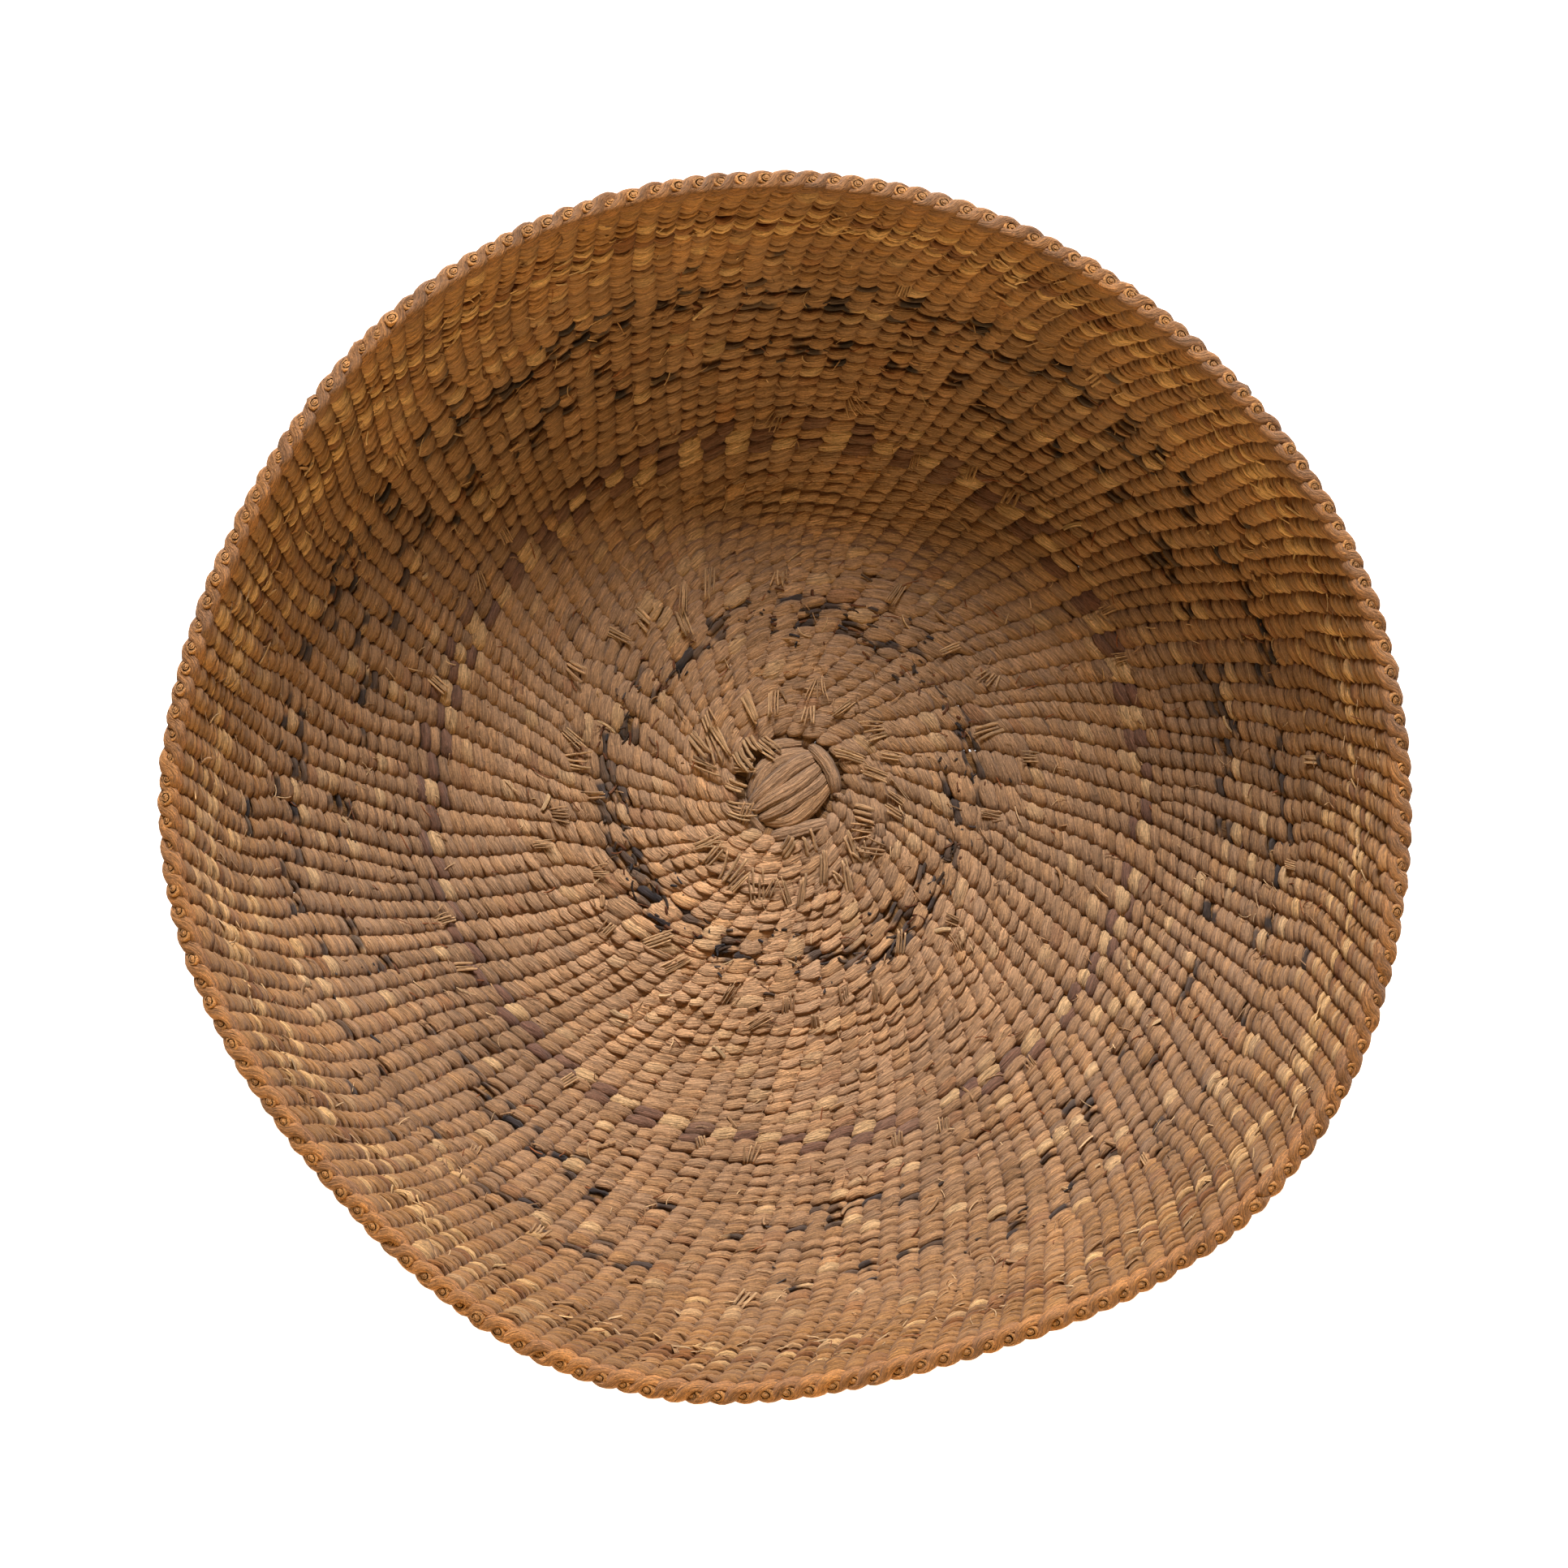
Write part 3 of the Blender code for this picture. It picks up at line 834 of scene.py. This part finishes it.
def twist_rim():
    """Two thick strands round the cut warp ends: each passes inside one warp and outside the next."""
    clockwise = np.arange(WARPS)[::-1]
    middle = WALL_LENGTH - RIM_HEIGHT / 2 + 0.0003
    turns = warp_turn(clockwise, np.full(WARPS, middle))[0]
    turns = np.concatenate([turns + TAU, turns, turns - TAU])
    index = np.arange(3 * WARPS)
    at = np.append((np.arange(WARPS, 2 * WARPS)[:, None] + RIM_STOPS).ravel(), 2 * WARPS - 0.5)
    for strand, (letter, node) in enumerate((("a", "rim_strand_inner"), ("b", "rim_strand_outer"))):
        face = np.cos(math.pi * (at + strand))
        over = np.sin(math.pi * (at + strand))
        nearness = np.abs(face)
        full = np.interp(at, index, 1.0 + 0.07 * rng.normal(size=3 * WARPS))
        half_width = between(RIM_HALF_WIDTH, nearness) * full
        half_thickness = between(RIM_HALF_THICKNESS, nearness) * full
        lift = RIM_LIFT * np.sign(face) * nearness**0.75
        along = middle + RIM_SLANT * over + 0.0002 * np.interp(at, index, rng.normal(size=3 * WARPS))
        turn = np.interp(at, index, turns)
        centres = wall_point(turn, along, lift)
        aside = outward(turn, along, lift)
        sizes = half_width[None], half_thickness[None]
        points, fibre = sweep(centres[None], aside[None], *sizes, RIM_SIDES, twist=110.0, lumps=0.04)
        # The rim is darker and browner towards one side.
        toward_dark_side = np.cos(turn - swirl(along) - RIM_DARK_SIDE)
        mix = np.interp(at, index, 0.42 + 0.25 * rng.normal(size=3 * WARPS)) - 0.12 * toward_dark_side
        tint = mingle(np.broadcast_to(RIM_BROWN, (len(at), 3)), RIM_ORANGE, mix)
        tint = tint * (1.0 - 0.15 * toward_dark_side)[:, None]
        # Painted shade: each rim strand is painted darker at its edges and where the two strands cross.
        round_it = np.arange(RIM_SIDES) * TAU / RIM_SIDES
        rim_edge_shade = (0.80 + 0.20 * np.abs(np.sin(round_it)))[:, None]
        shade = tint[:, None, :] * rim_edge_shade * (0.85 + 0.15 * nearness)[:, None, None]
        piece = make_piece(f"rim_twist_{letter}", [(points, fibre, shade[None])], rim_material)
        settle(piece, "rim_strand", node)


twist_rim()


# Start.


def start_strip(name, node, slot, centre, aside, half_width, half_thickness, tint):
    """One leaf strip of the start; its creases run along it."""
    round_it = np.arange(LEAF_SIDES) * TAU / LEAF_SIDES
    sizes = half_width[None], half_thickness[None]
    points, fibre = sweep(centre[None], aside[None], *sizes, LEAF_SIDES, lumps=0.02, pleats=9)
    # Painted shade: the strip is painted darker at its edges, where it meets its neighbours, and in the
    # valleys of its pleats, and lighter on their ridges.
    edge = (1.0 - 0.40 * np.abs(np.cos(round_it)) ** 6) * (1.0 + 0.12 * np.cos(9 * round_it))
    edge = edge[:, None]
    settle(make_piece(name, [(points, fibre, tint * edge)], leaf_material), slot, node)


def cross_start_warps():
    """Lower strips, and over them a bulging bundle of upper strips, drawn together most at the left end."""
    rings = 25
    reach = np.linspace(-1.0, 1.0, rings)
    layers = (("upper", UPPER_WARPS, START_TURN), ("lower", LOWER_WARPS, START_TURN + TAU / 4))
    for layer, count, turn in layers:
        way = np.array([math.cos(turn), math.sin(turn), 0.0])
        side = np.array([-math.sin(turn), math.cos(turn), 0.0])
        upper = layer == "upper"
        pitch = 0.0047 if upper else 0.0042
        half_length = 0.0135 if upper else 0.0175
        drawn = np.where(reach < 0, 0.52, 0.34) * (1.0 if upper else 0.2) * np.abs(reach) ** 2.2
        for index in range(count):
            shift = (index - (count - 1) / 2) * pitch
            bow = shift * (1.0 - drawn) + 0.0005 * np.sin(3 * reach + 1.9 * index)
            length = half_length * (1.0 - 0.12 * (shift / 0.0125) ** 2)
            centre = way * (reach * length)[:, None] + side * bow[:, None]
            bulge = 0.0018 * (1.0 - (shift / 0.014) ** 2)
            centre[:, 2] = 0.0054 + bulge - 0.0030 * np.abs(reach) ** 3 if upper else 0.0017
            half_width = 0.62 * pitch * (1.0 - 0.9 * drawn) * (1.0 + 0.12 * math.sin(5.0 * index))
            half_thickness = np.full(rings, 0.00115)
            lean = 0.22 * math.sin(2.4 * index + 1.0)
            aside = np.broadcast_to(side * math.cos(lean) + np.array([0, 0, math.sin(lean)]), (rings, 3))
            tint = mingle(GREY_TAN[None], TAN, np.array([rng.uniform(0.0, 0.8)]))[0] * rng.uniform(1.10, 1.24)
            name = f"start_{layer}_warp_{index + 1}"
            start_strip(f"leaf_{name}", name, "warp_fibre", centre, aside, half_width, half_thickness, tint)


def lash_start():
    """Wide strands round the bundle: middle angle, reach, distance, half width, height and straightness."""
    arcs = (
        ("start_lower_lashing_1", -0.12, 0.62, 0.0155, 0.0023, 0.0058, 0.2),
        ("start_lower_lashing_2", math.pi, 0.50, 0.0158, 0.0022, 0.0040, 0.4),
        ("start_upper_lashing_1", -1.92, 0.66, 0.0142, 0.0024, 0.0060, 1.0),
        ("start_upper_lashing_2", TAU / 4 - 0.5, 0.45, 0.0150, 0.0019, 0.0046, 0.9),
    )
    rings = 21
    reach = np.linspace(-1.0, 1.0, rings)
    for name, middle, half_arc, distance, width, height, straight in arcs:
        bearing = START_TURN + middle
        angle = half_arc * reach
        out = distance * (np.cos(angle) * (1.0 - straight) + straight)
        on = distance * (np.sin(angle) * (1.0 - straight) + angle * straight)
        way = np.array([math.cos(bearing), math.sin(bearing)])
        side = np.array([-math.sin(bearing), math.cos(bearing)])
        flat = way * out[:, None] + side * on[:, None]
        centre = np.column_stack([flat, height - 0.0028 * np.abs(reach) ** 4])
        ahead = np.gradient(centre, axis=0)
        aside = np.cross(ahead, [0.0, 0.0, 1.0])
        half_width = width * (1.0 - 0.30 * reach**2)
        half_thickness = np.full(rings, 0.0012)
        tint = GREY_TAN * rng.uniform(1.06, 1.20)
        start_strip(f"leaf_{name}", name, "natural_weft", centre, aside, half_width, half_thickness, tint)


cross_start_warps()
lash_start()


# Cut ends and loose fibres, on the inside of the wall.


def wall_fibres(turn, along, heading, length, bend, low, high, half_width, half_thickness):
    """Fibres that lie on the wall. heading is 0 outwards along a warp and a quarter turn along the weft."""
    rings = 8
    gone = np.linspace(0.0, 1.0, rings)
    way = heading[:, None] + bend[:, None] * gone
    step = length[:, None] / (rings - 1)
    out = np.maximum(along[:, None] + np.cumsum(np.cos(way), axis=1) * step, 0.004)
    sideways = np.cumsum(np.sin(way), axis=1) * step
    turns = turn[:, None] + sideways / profile(out)[0]
    lift = low[:, None] + (high - low)[:, None] * gone**0.6
    centres = wall_point(turns, out, lift)
    ahead = np.gradient(centres, axis=1)
    aside = np.cross(inward(turns, out), ahead)
    taper = 1.0 - 0.25 * gone
    return sweep(centres, aside, half_width[:, None] * taper, half_thickness[:, None] * taper, FIBRE_SIDES)


def split_ends(name, turn, along, length, heading, fan, wide):
    """Cut warp ends, each a bundle of flat splints side by side: one value of each for every bundle."""
    each = np.repeat(np.arange(len(turn)), rng.integers(3, 6, len(turn)))
    count = len(each)
    first = np.searchsorted(each, each)
    size = np.bincount(each)[each]
    across = np.arange(count) - first - (size - 1) / 2
    gap = wide[each] / size
    shift = across * gap + 0.0001 * rng.normal(size=count)
    points, fibre = wall_fibres(
        turn[each] - np.cos(heading[each]) * shift / profile(along[each])[0],
        along[each] + np.sin(heading[each]) * shift,
        heading[each] - across * fan[each] * 0.12 + 0.03 * rng.normal(size=count),
        length[each] * rng.uniform(0.82, 1.05, count),
        0.2 * fan[each] * rng.normal(size=count),
        0.0016 + 0.0006 * rng.random(count),
        0.0039 + 0.0006 * rng.random(count) + 0.0012 * rng.random(len(turn))[each],
        gap * rng.uniform(0.44, 0.60, count),
        rng.uniform(0.00025, 0.00045, count),
    )
    shade = rng.uniform(0.82, 1.12, count) * rng.uniform(0.90, 1.15, len(turn))[each]
    tint = mingle(np.broadcast_to(TAN, (count, 3)), STRAW, rng.uniform(0.1, 0.6, count)) * shade[:, None]
    settle(make_piece(name, [(points, fibre, tint[:, None, None, :])], straw_material), "warp_fibre")


def start_ends():
    """Cut ends of the start warps: bearing and distance from the middle, length, width and heading."""
    ends = np.array(START_ENDS)
    bearing, heading = np.radians(ends[:, 0]), np.radians(ends[:, 4])
    distance, length, wide = ends[:, 1] / 1000.0, ends[:, 2] / 1000.0, ends[:, 3] / 1000.0
    turn = bearing + swirl(distance)
    fan = rng.choice([0.1, 0.3, 0.9], len(ends))
    split_ends("start_cut_ends", turn, distance, length, heading, fan, wide)


def cut_ends():
    """Cut ends of the warps, those of the start and those that are laid in later."""
    start_ends()
    for number, (where, _, _) in enumerate(NEW_WARPS):
        share, longest = SEEN_ENDS[number]
        members = np.flatnonzero((rings_of_birth == where) & (rng.random(WARPS) < share))
        along = births[members] + rng.uniform(0.001, 0.007, len(members))
        turn = warp_turn(members, along)[0] + rng.normal(size=len(members)) * 0.0008 / along
        length = longest * rng.uniform(0.5, 1.0, len(members))
        heading = math.pi + 0.30 * rng.normal(size=len(members))
        fan = rng.choice([0.1, 0.3, 1.2], len(members))
        wide = rng.uniform(0.0024, 0.0044, len(members))
        split_ends(f"cut_ends_{number + 1}", turn, along, length, heading, fan, wide)


cut_ends()


def scatter(name, slot, count, tones, lengths, widths, spread, near=None, sunk=0.0):
    """Loose bits of fibre, mostly lying along the weft: anywhere, or near some rows."""
    low, high = LITTER_REACH
    along = np.sqrt(rng.uniform(low**2, high**2, count))
    if near is not None:
        along = rng.choice(near, count) + 0.004 * rng.normal(size=count)
    heading = rng.choice([-1.0, 1.0], count) * (TAU / 4) + spread * rng.normal(size=count)
    points, fibre = wall_fibres(
        rng.uniform(0, TAU, count),
        along,
        heading,
        rng.uniform(*lengths, count),
        0.70 * rng.normal(size=count),
        rng.uniform(0.0020, 0.0028, count) - sunk,
        rng.uniform(0.0032, 0.0046, count) - sunk,
        rng.uniform(*widths, count),
        rng.uniform(0.00008, 0.00016, count),
    )
    tint = np.array(tones)[rng.integers(0, len(tones), count)] * rng.uniform(0.75, 1.1, count)[:, None]
    settle(make_piece(name, [(points, fibre, tint[:, None, None, :])], straw_material), slot)


def litter():
    """Flat ends and fine fibres everywhere, dark bits in the dark rows, and golden ones under the rim."""
    tones = (STRAW * 0.9, TAN, TAN)
    scatter("flat_weft_ends", "natural_weft", 120, tones, (0.004, 0.008), (0.0005, 0.0012), 0.45)
    tones = (STRAW, TAN, TAN, RUST)
    scatter("fine_fibres", "natural_weft", 1500, tones, (0.002, 0.007), (0.0001, 0.0003), 0.9)
    rows = START_RADIUS + COURSE_PITCH * np.array([9.5, 10.0, 10.5, 11.0, 11.5, 35.0, 41.0, 41.5])
    tones = (BROWN_BLACK, RUST * 0.5, BLUE_BLACK)
    sizes = (0.0025, 0.0060), (0.0003, 0.0007)
    scatter("dark_fibres", "dark_weft", 520, tones, *sizes, 0.30, near=rows, sunk=0.0009)
    rows = START_RADIUS + COURSE_PITCH * np.array([51.5, 53.0, 54.5])
    tones = (GOLD, STRAW)
    scatter("gold_fibres", "gold_weft", 120, tones, (0.003, 0.006), (0.0003, 0.0008), 0.3, near=rows)


litter()


# Setting.


def floor_material(name, shade):
    """Matt floor that glows a little."""
    material = bpy.data.materials.new(name)
    material.use_nodes = True
    shader = material.node_tree.nodes["Principled BSDF"]
    shader.inputs["Base Color"].default_value = (*shade, 1.0)
    shader.inputs["Roughness"].default_value = 0.9
    shader.inputs["Emission Color"].default_value = (1.0, 1.0, 1.0, 1.0)
    shader.inputs["Emission Strength"].default_value = 0.9
    return material


def set_stage():
    """A pale floor that glows a little, like a light table."""
    size = 4.0
    corners = [(-size, -size, 0.0), (size, -size, 0.0), (size, size, 0.0), (-size, size, 0.0)]
    mesh = bpy.data.meshes.new("floor")
    mesh.from_pydata(corners, [], [(0, 1, 2, 3)])
    mesh.materials.append(floor_material("pale_floor", (0.9, 0.9, 0.9)))
    floor = bpy.data.objects.new("floor", mesh)
    bpy.context.scene.collection.objects.link(floor)


def area_light(name, place, size, power, tone):
    """A square soft light that faces the basket."""
    light = bpy.data.lights.new(name, "AREA")
    light.color = tone
    light.shape = "SQUARE"
    light.size = size
    light.energy = power
    lamp = bpy.data.objects.new(name, light)
    lamp.location = place
    way = np.array(place) - np.array([0.0, 0.0, 0.05])
    from_above = math.acos(way[2] / np.linalg.norm(way))
    lamp.rotation_euler = (from_above, 0.0, math.atan2(way[1], way[0]) + TAU / 4)
    bpy.context.scene.collection.objects.link(lamp)


def light_and_camera():
    """Light from behind and in front, and a camera straight above."""
    world = bpy.context.scene.world or bpy.data.worlds.new("soft_light")
    bpy.context.scene.world = world
    world.use_nodes = True
    background = world.node_tree.nodes["Background"]
    background.inputs["Color"].default_value = (1.0, 0.66, 0.30, 1.0)
    background.inputs["Strength"].default_value = 0.16
    area_light("key_light", (0.08, 1.84, 1.25), 0.8, 86.0, (1.0, 0.99, 0.97))
    area_light("fill_light", (0.0, -2.07, 0.80), 1.0, 38.0, (1.0, 0.74, 0.36))

    distance = 2.2
    view_width = 0.5012  # across the view at the rim
    rim_height = cad_box[1][2]
    camera = bpy.data.cameras.new("camera")
    camera.sensor_width = 36.0
    camera.lens = camera.sensor_width * distance / view_width
    eye = bpy.data.objects.new("camera", camera)
    eye.location = (-0.0013, 0.0016, rim_height + distance)
    eye.rotation_euler = (0.0, 0.0, 0.0)
    bpy.context.scene.collection.objects.link(eye)
    bpy.context.scene.camera = eye
    bpy.context.scene.view_settings.view_transform = "Standard"


set_stage()
light_and_camera()
